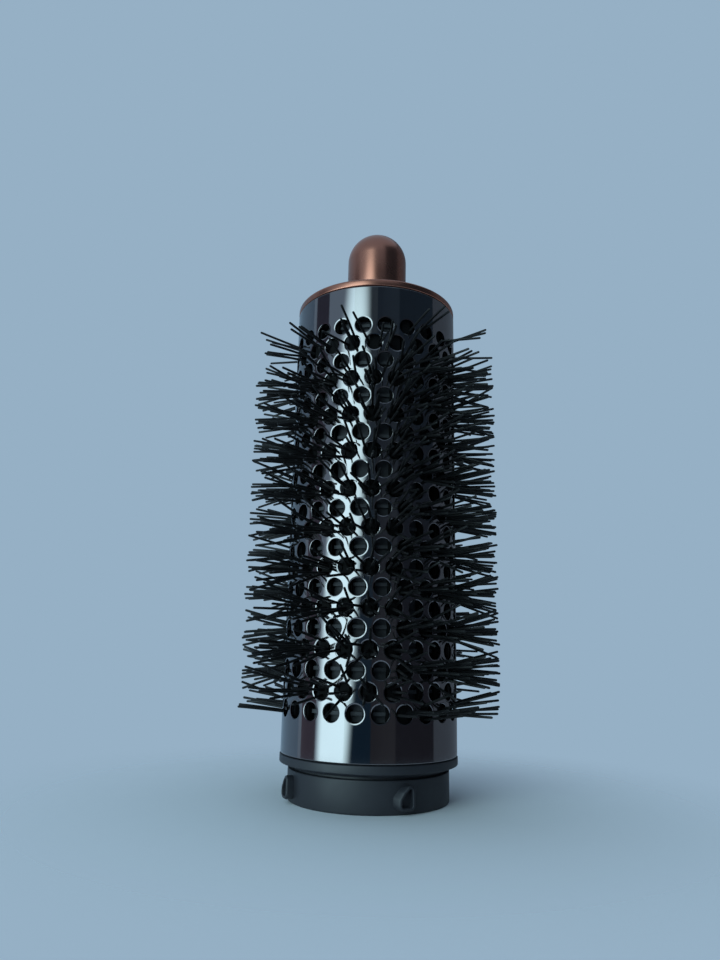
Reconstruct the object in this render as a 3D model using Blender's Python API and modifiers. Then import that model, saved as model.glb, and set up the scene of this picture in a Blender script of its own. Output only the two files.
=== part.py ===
# Round barrel brush: the attachment of a hot-air styler, standing on its connector collar.
# Air enters the collar, fills the barrel and leaves through the holes of a polished metal sleeve.
# Bristles on four quarter-round carriers stand out through half of the holes.
# Lengths are in metres. +Z runs from the collar to the tip, and angle 0 faces -Y.

import math

import bmesh
import bpy
from mathutils import Matrix, Vector
from mathutils.geometry import delaunay_2d_cdt

# Gap between pieces that seat on or slide into each other
SEAT_GAP = 0.0003

# Barrel sleeve, punched with staggered rows of holes
BARREL_DIAMETER = 0.0416
SLEEVE_LENGTH = 0.1099
SLEEVE_WALL = 0.0005
HOLE_COLUMNS = 24
HOLE_ROW_PITCH = 0.00448
HOLE_WEB = 0.00142
HOLE_END_MARGIN = 0.0100
HOLE_SIDES = 5

# Connector collar; the steps are taken in from the piece outside it
COLLAR_STEP = 0.0019
COLLAR_HEIGHT = 0.0072
COLLAR_WALL = 0.0030
COLLAR_CHAMFER = 0.0005
NECK_STEP = 0.0015

# Bayonet lugs: hollow teardrops with the point off centre and a sloping lead-in side
LUG_COUNT = 4
LUG_FIRST_ANGLE = math.radians(25.0)
LUG_FOOT_MARGIN = 0.0011
LUG_POINT_MARGIN = 0.0012
LUG_POINT_LENGTH = 0.0015
LUG_POINT_SHIFT = 0.0007
LUG_STANDOFF = 0.0017
LUG_LEAD_IN = 0.0008
LUG_RIM = 0.0007
LUG_RECESS = 0.0014

# Flange ring
FLANGE_HEIGHT = 0.0024
FLANGE_EDGE = 0.0016
FLANGE_OVERHANG = 0.0002
SPIGOT_HEIGHT = 0.0030

# Core spine with its spider and carrier ring
SPINE_FOOT_WALL = 0.0017
SPINE_HEAD_DIAMETER = 0.0150
CARRIER_LEDGE = 0.0020
CARRIER_LIP_HEIGHT = 0.0030
CARRIER_LIP_WALL = 0.0015
SPIDER_ARM_WIDTH = 0.0030
SPIDER_ARM_HEIGHT = 0.0040

# Bristle carriers
CARRIER_COUNT = 4
CARRIER_WALL = 0.0016
CARRIER_BAND = 0.0030
CARRIER_BAR_GAP = 0.0005

# Bristles
BRISTLE_REACH = 0.0100
BRISTLE_WIDTH = 0.0008
BRISTLE_SPREAD = 0.0005
BRISTLE_SPLAY = math.radians(6.0)
TUFTS_PER_PAIR = 5
GOLDEN_ANGLE = math.pi * (3.0 - math.sqrt(5.0))

# Upper disc and end cap
DISC_THICKNESS = 0.0020
CAP_THICKNESS = 0.0017
CAP_EDGE_ROUND = 0.0005
CAP_SPIGOT_HEIGHT = 0.0030

# Tip
TIP_DIAMETER = 0.0159
TIP_HEIGHT = 0.0232
TIP_WALL = 0.0014
TIP_FOOT_CHAMFER = 0.0003
INSULATOR_HEIGHT = 0.0093

# Fasteners
BOLT_DIAMETER = 0.0030
BOLT_HEAD_DIAMETER = 0.0056
BOLT_HEAD_HEIGHT = 0.0021
BOLT_GRIP = 0.0045
WASHER_OVERHANG = 0.0007
WASHER_THICKNESS = 0.0008
SCREW_DIAMETER = 0.0018
SCREW_HEAD_DIAMETER = 0.0034
SCREW_HEAD_HEIGHT = 0.0014
SCREW_GRIP = 0.0050
SCREW_BOSS_HEIGHT = 0.0052
SCREW_BOSS_BITE = 0.0006

# Facets round each turned piece
RING_SIDES = 32
INNER_SIDES = 24
SLIM_SIDES = 20
WASHER_SIDES = 12
SCREW_SIDES = 6
LUG_ARC_STEPS = 8
DOME_STEPS = 6

# Hole pattern: one step round the barrel is half a column, and holes stand on every other step of a row
half_column = math.pi / HOLE_COLUMNS
row_count = round((SLEEVE_LENGTH - 2 * HOLE_END_MARGIN) / HOLE_ROW_PITCH) + 1
tufts_per_row = HOLE_COLUMNS // CARRIER_COUNT

# Radii that several pieces share; a facet's middle lies closer to the axis than its edges
barrel_radius = BARREL_DIAMETER / 2
sleeve_inside = (barrel_radius - SLEEVE_WALL) * math.cos(half_column / 2)
plug_radius = sleeve_inside - SEAT_GAP
carrier_radius = plug_radius
carrier_inside = (carrier_radius - CARRIER_WALL) * math.cos(half_column)
lip_radius = carrier_inside - SEAT_GAP
collar_radius = barrel_radius - COLLAR_STEP
neck_radius = collar_radius - NECK_STEP
bore_radius = collar_radius - COLLAR_WALL
bolt_way = BOLT_DIAMETER / 2 + SEAT_GAP
washer_radius = BOLT_HEAD_DIAMETER / 2 + WASHER_OVERHANG
counterbore = washer_radius + SEAT_GAP
spine_foot = counterbore + SPINE_FOOT_WALL
screw_way = SCREW_DIAMETER / 2 + SEAT_GAP
screw_circle = bore_radius - SCREW_HEAD_DIAMETER / 2 - 2 * SEAT_GAP
screw_boss = bore_radius - screw_circle + SCREW_BOSS_BITE

# Heights that several pieces share
flange_bottom = COLLAR_HEIGHT + SEAT_GAP
flange_top = flange_bottom + FLANGE_HEIGHT
core_bottom = flange_top + SEAT_GAP
sleeve_bottom = flange_top + SEAT_GAP
sleeve_top = sleeve_bottom + SLEEVE_LENGTH
spigot_top = flange_top + SPIGOT_HEIGHT
ledge_bottom = spigot_top + SEAT_GAP
ledge_top = ledge_bottom + CARRIER_LEDGE
cap_bottom = sleeve_top + SEAT_GAP
cap_top = cap_bottom + CAP_THICKNESS
disc_top = cap_bottom - CAP_SPIGOT_HEIGHT - SEAT_GAP
disc_bottom = disc_top - DISC_THICKNESS
carrier_bottom = ledge_top + SEAT_GAP
carrier_top = disc_bottom - SEAT_GAP
tip_bottom = cap_top + SEAT_GAP
insulator_top = tip_bottom + INSULATOR_HEIGHT
bolt_tip = insulator_top + SEAT_GAP + BOLT_GRIP
bolt_seat = core_bottom + BOLT_HEAD_HEIGHT + WASHER_THICKNESS + 2 * SEAT_GAP
first_row_height = (sleeve_bottom + sleeve_top - (row_count - 1) * HOLE_ROW_PITCH) / 2


def at(radius, angle, height):
    return Vector((radius * math.sin(angle), -radius * math.cos(angle), height))


def clear_scene():
    for leftover in list(bpy.data.objects):
        bpy.data.objects.remove(leftover, do_unlink=True)


def new_collection(name):
    collection = bpy.data.collections.new(name)
    bpy.context.scene.collection.children.link(collection)
    return collection


def new_material(name, colour, roughness, metallic=0.0):
    material = bpy.data.materials.new(name)
    material.use_nodes = True
    shader = material.node_tree.nodes["Principled BSDF"]
    shader.inputs["Base Color"].default_value = (*colour, 1.0)
    shader.inputs["Roughness"].default_value = roughness
    shader.inputs["Metallic"].default_value = metallic
    return material


def mesh_object(name, bm, collection, material=None):
    mesh = bpy.data.meshes.new(name)
    bm.to_mesh(mesh)
    bm.free()
    thing = bpy.data.objects.new(name, mesh)
    collection.objects.link(thing)
    if material:
        mesh.materials.append(material)
    return thing


def as_tool(thing):
    thing.hide_render = True
    thing.display_type = "WIRE"
    return thing


def boolean(thing, tool, operation):
    modifier = thing.modifiers.new(tool.name, "BOOLEAN")
    modifier.operation = operation
    modifier.solver = "EXACT"
    modifier.object = tool


def solidify_inwards(thing, wall):
    modifier = thing.modifiers.new("wall", "SOLIDIFY")
    modifier.thickness = wall
    modifier.offset = -1.0


# A profile of (radius, height) runs down the outer side; an open one starts and ends on the axis
def turned(name, profile, sides, collection, material=None, closed=True):
    bm = bmesh.new()
    verts = [bm.verts.new((radius, 0.0, height)) for radius, height in profile]
    for start, end in zip(verts, verts[1:]):
        bm.edges.new((start, end))
    if closed:
        bm.edges.new((verts[-1], verts[0]))
    thing = mesh_object(name, bm, collection, material)
    screw = thing.modifiers.new("turn", "SCREW")
    screw.axis = "Z"
    screw.angle = 2 * math.pi
    screw.steps = sides
    screw.render_steps = sides
    screw.use_merge_vertices = True
    screw.merge_threshold = 0.00001
    screw.use_smooth_shade = True
    return thing


# The screws stand half way between the lugs
def screw_angles():
    return [LUG_FIRST_ANGLE + (index + 0.5) * 2 * math.pi / LUG_COUNT for index in range(LUG_COUNT)]


def screw_cylinders(name, radius, bottom, top, collection):
    bm = bmesh.new()
    for angle in screw_angles():
        place = Matrix.Translation(at(screw_circle, angle, (bottom + top) / 2))
        bmesh.ops.create_cone(bm, cap_ends=True, segments=SCREW_SIDES, radius1=radius, radius2=radius,
                              depth=top - bottom, matrix=place)
    return as_tool(mesh_object(name, bm, collection))


# Teardrop outline of a lug about the centre of its round foot, drawn in by inset
def lug_outline(foot, inset):
    radius = foot - inset
    point = Vector((LUG_POINT_SHIFT, foot + LUG_POINT_LENGTH)) * radius / foot
    facing = math.atan2(point.y, point.x)
    tangent = math.acos(radius / point.length)
    outline = [point]
    for step in range(LUG_ARC_STEPS + 1):
        angle = facing + tangent + 2 * (math.pi - tangent) * step / LUG_ARC_STEPS
        outline.append(Vector((radius * math.cos(angle), radius * math.sin(angle))))
    return outline


# Blocks of the lug outline, one for each lug, that widen by lead_in towards the barrel's axis
def lug_blocks(inset, inner, outer, lead_in):
    bm = bmesh.new()
    foot = (COLLAR_HEIGHT - LUG_FOOT_MARGIN - LUG_POINT_MARGIN - LUG_POINT_LENGTH) / 2
    foot_height = LUG_FOOT_MARGIN + foot
    outline = lug_outline(foot, inset)
    stop_side = max(point.x for point in outline)
    widen = 1 + lead_in / (2 * foot)
    for index in range(LUG_COUNT):
        place = Matrix.Rotation(LUG_FIRST_ANGLE + index * 2 * math.pi / LUG_COUNT, 4, "Z")
        front = [Vector((point.x, -outer, foot_height + point.y)) for point in outline]
        back = [Vector((stop_side + (point.x - stop_side) * widen, -inner, foot_height + point.y))
                for point in outline]
        front_loop, back_loop = [[bm.verts.new(place @ corner) for corner in loop] for loop in (front, back)]
        bm.faces.new(front_loop)
        bm.faces.new(back_loop)
        for side in range(len(outline)):
            after = (side + 1) % len(outline)
            bm.faces.new((front_loop[side], front_loop[after], back_loop[after], back_loop[side]))
    bmesh.ops.recalc_face_normals(bm, faces=bm.faces)
    return bm


def connector_collar(parts, tools, material):
    profile = [
        (neck_radius, flange_top),
        (neck_radius, COLLAR_HEIGHT),
        (collar_radius - COLLAR_CHAMFER, COLLAR_HEIGHT),
        (collar_radius, COLLAR_HEIGHT - COLLAR_CHAMFER),
        (collar_radius, COLLAR_CHAMFER),
        (collar_radius - COLLAR_CHAMFER, 0.0),
        (bore_radius, 0.0),
        (bore_radius, flange_top),
    ]
    collar = turned("connector_collar", profile, RING_SIDES, parts, material)
    lug_face = collar_radius + LUG_STANDOFF
    lug_back = collar_radius - LUG_STANDOFF
    lugs = lug_blocks(0.0, lug_back, lug_face, 2 * LUG_LEAD_IN)
    recesses = lug_blocks(LUG_RIM, lug_face - LUG_RECESS, lug_face + LUG_STANDOFF, 0.0)
    boss_bottom = flange_top - SCREW_BOSS_HEIGHT
    bosses = screw_cylinders("collar_bosses", screw_boss, boss_bottom, flange_top, tools)
    ways = screw_cylinders("collar_screw_ways", screw_way, 0.0, core_bottom, tools)
    boolean(collar, as_tool(mesh_object("lugs", lugs, tools)), "UNION")
    boolean(collar, as_tool(mesh_object("lug_recesses", recesses, tools)), "DIFFERENCE")
    boolean(collar, bosses, "UNION")
    boolean(collar, ways, "DIFFERENCE")


def flange_ring(parts, material):
    inner = neck_radius + SEAT_GAP
    outer = barrel_radius + FLANGE_OVERHANG
    profile = [
        (plug_radius, spigot_top),
        (plug_radius, flange_top),
        (outer, flange_top),
        (outer, flange_top - FLANGE_EDGE),
        (collar_radius, flange_bottom),
        (inner, flange_bottom),
        (inner, spigot_top),
    ]
    turned("flange_ring", profile, RING_SIDES, parts, material)


def has_hole(step, row):
    return (step + row) % 2 == 1


# Corners of one hole in the flat sheet; the polygon has the area of the round hole
def hole_corners(across, height):
    column_step = half_column * barrel_radius
    nearest = min(2 * column_step, math.hypot(column_step, HOLE_ROW_PITCH))
    corner_step = 2 * math.pi / HOLE_SIDES
    radius = (nearest - HOLE_WEB) / 2 * math.sqrt(2 * math.pi / (HOLE_SIDES * math.sin(corner_step)))
    corners = []
    for corner in range(HOLE_SIDES):
        angle = math.pi / 2 + corner * corner_step
        corners.append((across + radius * math.cos(angle), height + radius * math.sin(angle)))
    return corners


# One column of the punched sheet laid flat, as triangles of (distance round the barrel, height).
# A wider patch is triangulated and its middle column kept, so that columns match edge to edge.
# The patch is leant a little meanwhile, which leaves no four corners on one circle, and the
# column's borders keep clear of the middles of triangles.
def punched_column():
    column_step = half_column * barrel_radius
    patch_steps = range(-6, 7)
    lean = 0.04
    column_start = -1.1 * column_step
    column_end = column_start + 2 * column_step
    points, holes, edges = [], [], []
    for edge_height in (sleeve_bottom, sleeve_top):
        points.extend((step * column_step, edge_height) for step in patch_steps)
        holes.extend(None for step in patch_steps)
    for row in range(row_count):
        for step in patch_steps:
            if has_hole(step, row):
                first = len(points)
                points.extend(hole_corners(step * column_step, first_row_height + row * HOLE_ROW_PITCH))
                holes.extend([(row, step)] * HOLE_SIDES)
                ring = [first + corner for corner in range(HOLE_SIDES)]
                edges.extend(zip(ring, ring[1:] + ring[:1]))
    leant = [Vector((across + lean * height, height)) for across, height in points]
    merge_distance = 0.0000001
    _, _, faces, source, _, _ = delaunay_2d_cdt(leant, edges, [], 0, merge_distance)
    column = []
    for face in faces:
        corners = [source[vertex][0] for vertex in face]
        owners = {holes[corner] for corner in corners}
        is_metal = len(owners) > 1 or None in owners
        middle = sum(points[corner][0] for corner in corners) / 3
        if is_metal and column_start <= middle < column_end:
            column.append([points[corner] for corner in corners])
    return column


def barrel_sleeve(parts, material):
    bm = bmesh.new()
    column = punched_column()
    for index in range(HOLE_COLUMNS):
        start = index * 2 * half_column
        for triangle in column:
            bm.faces.new([bm.verts.new(at(barrel_radius, start + across / barrel_radius, height))
                          for across, height in triangle])
    bmesh.ops.remove_doubles(bm, verts=bm.verts, dist=0.000001)
    sleeve = mesh_object("barrel_sleeve", bm, parts, material)
    sleeve.data.shade_smooth()
    solidify_inwards(sleeve, SLEEVE_WALL)


# Steps of a carrier's tuft columns; every second carrier sits a step back, so it uses the other rows
def tuft_steps(carrier):
    first = carrier * 2 * tufts_per_row - (tufts_per_row + 2) - carrier % 2
    return [first + 2 * index for index in range(tufts_per_row)]


# Quarter-round panel with a bar behind each tuft column and open slots for the air between them
def carrier_panel(carrier):
    bm = bmesh.new()
    half_bar = (half_column - CARRIER_BAR_GAP / carrier_radius) / 2
    angles = []
    for step in tuft_steps(carrier):
        angles.extend((step * half_column - half_bar, step * half_column + half_bar))
    heights = (carrier_bottom, carrier_bottom + CARRIER_BAND, carrier_top - CARRIER_BAND, carrier_top)
    grid = [[bm.verts.new(at(carrier_radius, angle, height)) for angle in angles] for height in heights]
    for level, (low, high) in enumerate(zip(grid, grid[1:])):
        is_band = level != 1
        for side in range(len(angles) - 1):
            is_bar = side % 2 == 0
            if is_band or is_bar:
                bm.faces.new((low[side], low[side + 1], high[side + 1], high[side]))
    return bm


# Slim three-sided bristles that lean each its own way; now and then a pair leans apart
def bristle_mesh(carrier):
    bm = bmesh.new()
    root_radius = carrier_radius - CARRIER_WALL / 2
    length = barrel_radius + BRISTLE_REACH - root_radius
    steps = tuft_steps(carrier)
    tufts = [(row, step) for row in range(row_count) if has_hole(steps[0], row) for step in steps]
    for tuft, (row, step) in enumerate(tufts):
        angle = step * half_column
        root = at(root_radius, angle, first_row_height + row * HOLE_ROW_PITCH)
        lean = tuft * GOLDEN_ANGLE
        aside = at(1.0, angle + math.pi / 2, 0.0) * math.cos(lean) + Vector((0.0, 0.0, math.sin(lean)))
        for side in (-1, 1) if tuft % TUFTS_PER_PAIR == 0 else (1,):
            along = at(1.0, angle, 0.0) + side * math.tan(BRISTLE_SPLAY) * aside
            along.normalize()
            middle = root + side * BRISTLE_SPREAD * aside + along * length / 2
            pose = Matrix.Translation(middle) @ along.to_track_quat("Z", "Y").to_matrix().to_4x4()
            bmesh.ops.create_cone(bm, cap_ends=True, segments=3, radius1=BRISTLE_WIDTH / 2, radius2=0.0,
                                  depth=length, matrix=pose)
    return bm


def bristle_carriers(parts, tools, material):
    for carrier in range(CARRIER_COUNT):
        panel = mesh_object(f"bristle_carrier_{carrier + 1}", carrier_panel(carrier), parts, material)
        solidify_inwards(panel, CARRIER_WALL)
        bristles = mesh_object(f"bristles_{carrier + 1}", bristle_mesh(carrier), tools)
        boolean(panel, as_tool(bristles), "UNION")


def spider_arms(tools):
    bm = bmesh.new()
    start = (counterbore + spine_foot) / 2
    for angle in screw_angles():
        place = Matrix.Translation(at((start + screw_circle) / 2, angle, core_bottom + SPIDER_ARM_HEIGHT / 2))
        size = Matrix.Diagonal((SPIDER_ARM_WIDTH, screw_circle - start, SPIDER_ARM_HEIGHT, 1.0))
        bmesh.ops.create_cube(bm, size=1.0, matrix=place @ Matrix.Rotation(angle, 4, "Z") @ size)
    return as_tool(mesh_object("spider_arms", bm, tools))


# Ring that nests in the flange ring, with a ledge under the carriers and a lip inside them
def carrier_ring(tools):
    lip_top = ledge_top + CARRIER_LIP_HEIGHT
    profile = [
        (lip_radius, lip_top),
        (lip_radius, ledge_top),
        (plug_radius, ledge_top),
        (plug_radius, ledge_bottom),
        (neck_radius, ledge_bottom),
        (neck_radius, core_bottom),
        (bore_radius, core_bottom),
        (lip_radius - CARRIER_LIP_WALL, lip_top),
    ]
    return as_tool(turned("carrier_ring", profile, INNER_SIDES, tools))


def core_spine(parts, tools, material):
    profile = [
        (bolt_way, carrier_top),
        (SPINE_HEAD_DIAMETER / 2, carrier_top),
        (spine_foot, core_bottom),
        (counterbore, core_bottom),
        (counterbore, bolt_seat),
        (bolt_way, bolt_seat),
    ]
    spine = turned("core_spine", profile, SLIM_SIDES, parts, material)
    boss_top = core_bottom + SCREW_BOSS_HEIGHT
    bosses = screw_cylinders("spider_bosses", screw_boss, core_bottom, boss_top, tools)
    ways = screw_cylinders("spider_screw_ways", screw_way, flange_top, boss_top + SEAT_GAP, tools)
    boolean(spine, spider_arms(tools), "UNION")
    boolean(spine, bosses, "UNION")
    boolean(spine, carrier_ring(tools), "UNION")
    boolean(spine, ways, "DIFFERENCE")


def upper_disc(parts, material):
    lip_bottom = disc_bottom - CARRIER_LIP_HEIGHT
    profile = [
        (bolt_way, disc_top),
        (plug_radius, disc_top),
        (plug_radius, disc_bottom),
        (lip_radius, disc_bottom),
        (lip_radius, lip_bottom),
        (lip_radius - CARRIER_LIP_WALL, lip_bottom),
        (lip_radius - CARRIER_LIP_WALL, disc_bottom),
        (bolt_way, disc_bottom),
    ]
    turned("upper_disc", profile, INNER_SIDES, parts, material)


def end_cap(parts, material):
    spigot_bottom = cap_bottom - CAP_SPIGOT_HEIGHT
    shoulder = CAP_EDGE_ROUND * (1 - math.sqrt(0.5))
    profile = [
        (bolt_way, cap_top),
        (barrel_radius - CAP_EDGE_ROUND, cap_top),
        (barrel_radius - shoulder, cap_top - shoulder),
        (barrel_radius, cap_top - CAP_EDGE_ROUND),
        (barrel_radius, cap_bottom),
        (plug_radius, cap_bottom),
        (plug_radius, spigot_bottom),
        (bolt_way, spigot_bottom),
    ]
    turned("end_cap", profile, RING_SIDES, parts, material)


def cool_tip(parts, material):
    radius = TIP_DIAMETER / 2
    cavity = radius - TIP_WALL
    cavity_top = insulator_top + SEAT_GAP
    dome_base = tip_bottom + TIP_HEIGHT - radius
    profile = []
    for step in range(DOME_STEPS + 1):
        angle = math.pi / 2 * step / DOME_STEPS
        profile.append((radius * math.sin(angle), dome_base + radius * math.cos(angle)))
    profile += [
        (radius, tip_bottom + TIP_FOOT_CHAMFER),
        (radius - TIP_FOOT_CHAMFER, tip_bottom),
        (cavity, tip_bottom),
        (cavity, cavity_top),
        (bolt_way, cavity_top),
        (bolt_way, bolt_tip + SEAT_GAP),
        (0.0, bolt_tip + SEAT_GAP),
    ]
    turned("cool_tip", profile, SLIM_SIDES, parts, material, closed=False)


def tip_insulator(parts, material):
    outer = (TIP_DIAMETER / 2 - TIP_WALL) * math.cos(math.pi / SLIM_SIDES) - SEAT_GAP
    profile = [(bolt_way, insulator_top), (outer, insulator_top), (outer, tip_bottom), (bolt_way, tip_bottom)]
    turned("tip_insulator", profile, WASHER_SIDES, parts, material)


def tie_washer(parts, material):
    top = bolt_seat - SEAT_GAP
    bottom = top - WASHER_THICKNESS
    profile = [(bolt_way, top), (washer_radius, top), (washer_radius, bottom), (bolt_way, bottom)]
    turned("tie_washer", profile, WASHER_SIDES, parts, material)


# Fastener that points up: a pan head under a plain shank
def fastener(name, shank, head, head_bottom, head_top, tip, parts, material):
    profile = [
        (0.0, tip),
        (shank / 2, tip),
        (shank / 2, head_top),
        (head / 2, head_top),
        (head / 2, head_bottom),
        (0.0, head_bottom),
    ]
    return turned(name, profile, SCREW_SIDES, parts, material, closed=False)


def tie_bolt(parts, material):
    head_top = core_bottom + BOLT_HEAD_HEIGHT
    fastener("tie_bolt", BOLT_DIAMETER, BOLT_HEAD_DIAMETER, core_bottom, head_top, bolt_tip, parts, material)


def collar_screws(parts, material):
    head_top = flange_top - SCREW_BOSS_HEIGHT - SEAT_GAP
    head_bottom = head_top - SCREW_HEAD_HEIGHT
    screw_tip = core_bottom + SCREW_GRIP
    for index, angle in enumerate(screw_angles()):
        name = f"collar_screw_{index + 1}"
        screw = fastener(name, SCREW_DIAMETER, SCREW_HEAD_DIAMETER, head_bottom, head_top, screw_tip,
                         parts, material)
        screw.location = at(screw_circle, angle, 0.0)


def main():
    clear_scene()
    parts = new_collection("round_barrel_brush")
    tools = new_collection("cutters")
    slate_plastic = new_material("slate_plastic", (0.060, 0.068, 0.082), 0.5)
    polished_metal = new_material("polished_metal", (0.36, 0.37, 0.40), 0.08, 1.0)
    black_nylon = new_material("black_nylon", (0.015, 0.015, 0.017), 0.45)
    core_plastic = new_material("core_plastic", (0.045, 0.045, 0.050), 0.5)
    copper = new_material("copper", (0.50, 0.27, 0.20), 0.35, 1.0)
    steel = new_material("steel", (0.55, 0.55, 0.57), 0.3, 1.0)
    connector_collar(parts, tools, slate_plastic)
    flange_ring(parts, slate_plastic)
    barrel_sleeve(parts, polished_metal)
    bristle_carriers(parts, tools, black_nylon)
    core_spine(parts, tools, core_plastic)
    upper_disc(parts, core_plastic)
    end_cap(parts, copper)
    cool_tip(parts, copper)
    tip_insulator(parts, core_plastic)
    tie_washer(parts, steel)
    tie_bolt(parts, steel)
    collar_screws(parts, steel)


main()
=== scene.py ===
# Round barrel brush of a hot-air styler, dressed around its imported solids.
# Sizes in the dictionaries are millimetres, and angles are degrees unless a comment says otherwise.
# +Z runs up the barrel, and angle 0 faces -Y.

import math
import random

import bpy
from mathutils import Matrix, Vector


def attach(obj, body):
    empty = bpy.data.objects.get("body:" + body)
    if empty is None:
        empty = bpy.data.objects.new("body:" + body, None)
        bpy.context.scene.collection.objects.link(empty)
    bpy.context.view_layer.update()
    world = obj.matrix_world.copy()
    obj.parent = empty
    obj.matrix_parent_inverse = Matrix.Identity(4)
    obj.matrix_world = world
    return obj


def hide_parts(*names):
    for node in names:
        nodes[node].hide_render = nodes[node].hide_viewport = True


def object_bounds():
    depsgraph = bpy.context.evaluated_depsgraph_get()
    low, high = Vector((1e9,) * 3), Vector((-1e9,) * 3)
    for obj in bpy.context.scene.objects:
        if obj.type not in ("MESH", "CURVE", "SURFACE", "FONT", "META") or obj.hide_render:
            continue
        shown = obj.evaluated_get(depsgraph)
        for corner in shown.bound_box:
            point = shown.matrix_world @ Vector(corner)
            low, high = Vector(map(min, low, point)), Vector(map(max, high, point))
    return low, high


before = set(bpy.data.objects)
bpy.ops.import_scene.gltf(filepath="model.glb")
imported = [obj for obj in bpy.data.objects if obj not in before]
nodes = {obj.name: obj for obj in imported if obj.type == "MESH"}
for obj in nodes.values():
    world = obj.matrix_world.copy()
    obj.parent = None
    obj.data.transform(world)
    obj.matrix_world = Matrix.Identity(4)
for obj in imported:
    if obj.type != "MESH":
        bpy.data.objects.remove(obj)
cadLow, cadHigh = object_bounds()
scene = bpy.context.scene
mm = 0.001
fullTurn = 2 * math.pi
tiny = 1e-6  # a length under this counts as none
print("frame loaded,", len(nodes), "solids")


# the camera comes first: low in front of the barrel, looking a little up it
cameraSet = {"place": (3.08, -180.83, 33.36), "turn": (103.353, -1.226, 1.772), "lens": 27.04, "sensor": 36.0,
             "near": 5.0}


def placeCamera():
    lens = bpy.data.cameras.new("camera")
    lens.lens = cameraSet["lens"]
    lens.sensor_width = cameraSet["sensor"]
    lens.clip_start = cameraSet["near"] * mm
    camera = bpy.data.objects.new("camera", lens)
    camera.location = Vector(cameraSet["place"]) * mm
    camera.rotation_euler = [math.radians(angle) for angle in cameraSet["turn"]]
    scene.collection.objects.link(camera)
    scene.camera = camera


placeCamera()
print("camera placed")


# colour sockets of a mix node, whose names are shared with its other kinds
mixA, mixB, mixResult = 6, 7, 2


# sRGB hex to the linear colour that shaders take
def linear(hexCode):
    channels = [int(hexCode[start:start + 2], 16) / 255 for start in (1, 3, 5)]
    return [c / 12.92 if c <= 0.04045 else ((c + 0.055) / 1.055) ** 2.4 for c in channels] + [1.0]


def addNode(tree, kind, settings, links):
    node = tree.nodes.new(kind)
    for name, value in settings.items():
        if isinstance(name, str) and hasattr(node, name):
            setattr(node, name, value)
        else:
            node.inputs[name].default_value = value
    for name, source in links.items():
        tree.links.new(source, node.inputs[name])
    return node


def startMaterial(name, sockets):
    material = bpy.data.materials.new(name)
    material.use_nodes = True
    tree = material.node_tree
    shader = tree.nodes["Principled BSDF"]
    for socket, value in sockets.items():
        shader.inputs[socket].default_value = value
    place = addNode(tree, "ShaderNodeTexCoord", {}, {}).outputs["Object"]
    return material, tree, shader, place


# black nickel plate on a drawn steel tube: a dark mirror, a little hazy where hands have held it
nickelSet = {"colour": "#8c8789", "hazed": "#7f7a7c", "polish": 0.045, "haze": 0.11,
             "handMark": 16.0, "ripple": 7.0, "rippleDepth": 0.0012}


def makeBlackNickel():
    material, tree, shader, place = startMaterial("blackNickelPlate", {"Metallic": 1.0})
    mark = addNode(tree, "ShaderNodeTexNoise", {"Scale": 1 / (nickelSet["handMark"] * mm), "Detail": 4.0},
                   {"Vector": place})
    colour = addNode(tree, "ShaderNodeMix", {"data_type": "RGBA", mixA: linear(nickelSet["colour"]),
                                             mixB: linear(nickelSet["hazed"])}, {0: mark.outputs[0]})
    haze = addNode(tree, "ShaderNodeMapRange", {"From Min": 0.4, "From Max": 0.75,
                                                "To Min": nickelSet["polish"], "To Max": nickelSet["haze"]},
                   {"Value": mark.outputs[0]})
    ripple = addNode(tree, "ShaderNodeTexNoise", {"Scale": 1 / (nickelSet["ripple"] * mm), "Detail": 1.0},
                     {"Vector": place})
    bump = addNode(tree, "ShaderNodeBump", {"Strength": 0.4, "Distance": nickelSet["rippleDepth"] * mm},
                   {"Height": ripple.outputs[0]})
    tree.links.new(colour.outputs[mixResult], shader.inputs["Base Color"])
    tree.links.new(haze.outputs[0], shader.inputs["Roughness"])
    tree.links.new(bump.outputs[0], shader.inputs["Normal"])
    return material


# copper-toned anodised aluminium, bead blasted before the dye: satin, with a fine soft grain
copperSet = {"colour": "#a86e5c", "worn": "#b47b6a", "roughness": 0.24, "roughGrain": 0.3,
             "bead": 0.35, "beadDepth": 0.006, "cloud": 9.0}


def makeCopper():
    material, tree, shader, place = startMaterial("copperAnodisedAluminium", {"Metallic": 1.0})
    # real beads leave 0.05 mm pits; drawn coarser so that they show
    bead = addNode(tree, "ShaderNodeTexNoise", {"Scale": 1 / (copperSet["bead"] * mm), "Detail": 2.0},
                   {"Vector": place})
    cloud = addNode(tree, "ShaderNodeTexNoise", {"Scale": 1 / (copperSet["cloud"] * mm), "Detail": 3.0},
                    {"Vector": place})
    colour = addNode(tree, "ShaderNodeMix", {"data_type": "RGBA", mixA: linear(copperSet["colour"]),
                                             mixB: linear(copperSet["worn"])}, {0: cloud.outputs[0]})
    rough = addNode(tree, "ShaderNodeMapRange", {"From Min": 0.3, "From Max": 0.7,
                                                 "To Min": copperSet["roughness"],
                                                 "To Max": copperSet["roughGrain"]},
                    {"Value": cloud.outputs[0]})
    bump = addNode(tree, "ShaderNodeBump", {"Strength": 0.25, "Distance": copperSet["beadDepth"] * mm},
                   {"Height": bead.outputs[0]})
    tree.links.new(colour.outputs[mixResult], shader.inputs["Base Color"])
    tree.links.new(rough.outputs[0], shader.inputs["Roughness"])
    tree.links.new(bump.outputs[0], shader.inputs["Normal"])
    return material


# glass-filled nylon, moulded in a spark-eroded tool: matt slate with a fine even tooth
slateSet = {"colour": "#23242a", "pale": "#2b2c33", "ior": 1.5, "roughness": 0.46, "rub": 0.62, "tooth": 0.4,
            "toothDepth": 0.012, "flow": 6.0}


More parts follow.
